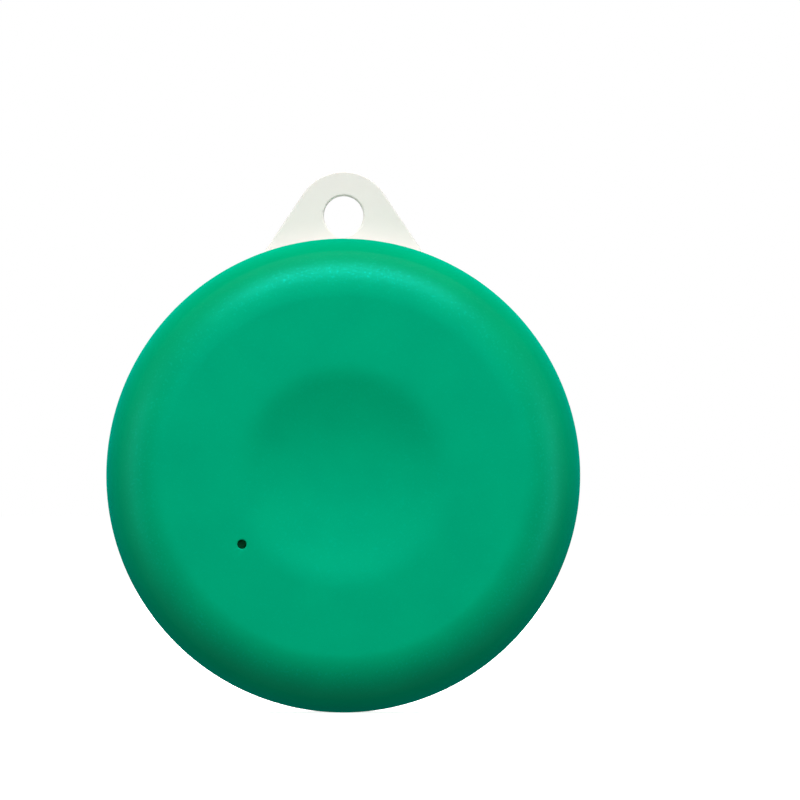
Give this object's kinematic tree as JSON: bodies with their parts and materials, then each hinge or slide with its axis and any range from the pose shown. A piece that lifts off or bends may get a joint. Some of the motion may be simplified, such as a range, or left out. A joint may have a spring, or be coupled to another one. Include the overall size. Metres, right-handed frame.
{
  "type": "temperature humidity sensor tag",
  "caption": "Round coin-cell tag that measures temperature and humidity, with a thumb dish, a vent hole, a pull-off front cover and a lanyard lug on its flat back.",
  "frame": {"origin": "centre of the flat back, where the round body's axis meets it", "axes": "front faces -Y, the flat back faces +Y, the lanyard lug points to +Z, +X is to the right seen from the front"},
  "size_m": [0.032, 0.0096, 0.0366],
  "materials": {
    "front_cover": "fine spark texture",
    "rear_cover": "satin",
    "circuit_board": "solder mask over glass epoxy",
    "test_pads": "gold flashed",
    "antenna_trace": "copper under solder mask",
    "radio_chip": "moulded epoxy",
    "main_crystal": "metal lid",
    "clock_crystal": "metal lid",
    "inductor": "ferrite",
    "status_led": "clear resin",
    "capacitors": "fired, tinned ends",
    "resistors": "glazed, tinned ends",
    "humidity_sensor": "moulded epoxy",
    "sensor_gasket": "closed-cell foam",
    "vent_membrane": "porous film",
    "switch_base": "moulded",
    "switch_frame": "pressed sheet",
    "switch_terminals": "tinned",
    "switch_dome": "spring sheet",
    "switch_plunger": "moulded",
    "positive_contacts": "nickel plated",
    "negative_contact": "nickel plated",
    "cell_can": "nickel plated",
    "cell_gasket": "moulded",
    "cell_cap": "nickel plated",
    "cell_core": "pressed powder"
  },
  "bodies": {
    "rear_shell": {"rear_cover": "rear_cover"},
    "coin_cell": {"cell_can": "cell_can", "cell_gasket": "cell_gasket", "cell_cap": "cell_cap", "cell_core": "cell_core"},
    "switch_button": {"switch_plunger": "switch_plunger"},
    "front_shell": {"front_cover": "front_cover", "circuit_board": "circuit_board", "test_pads": "test_pads", "antenna_trace": "antenna_trace", "radio_chip": "radio_chip", "main_crystal": "main_crystal", "clock_crystal": "clock_crystal", "inductor": "inductor", "status_led": "status_led", "capacitors": "capacitors", "resistors": "resistors", "humidity_sensor": "humidity_sensor", "sensor_gasket": "sensor_gasket", "vent_membrane": "vent_membrane", "switch_base": "switch_base", "switch_frame": "switch_frame", "switch_terminals": "switch_terminals", "switch_dome": "switch_dome", "positive_contacts": "positive_contacts", "negative_contact": "negative_contact"}
  },
  "joints": [
    {"name": "cover_pull", "type": "slide", "parent": "rear_shell", "child": "front_shell", "axis": [0, -1, 0], "range_m": [0, 0.024]},
    {"name": "cell_lift", "type": "slide", "parent": "rear_shell", "child": "coin_cell", "axis": [0, -1, 0], "range_m": [0, 0.012]},
    {"name": "button_press", "type": "slide", "parent": "front_shell", "child": "switch_button", "axis": [0, 1, 0], "range_m": [0, 0.00025], "stiffness_N_per_m": 6000, "deforming": ["switch_dome"]}
  ],
  "couplings": [
    {"joint": "cell_lift", "follows": "cover_pull", "ratio": 0.5}
  ]
}
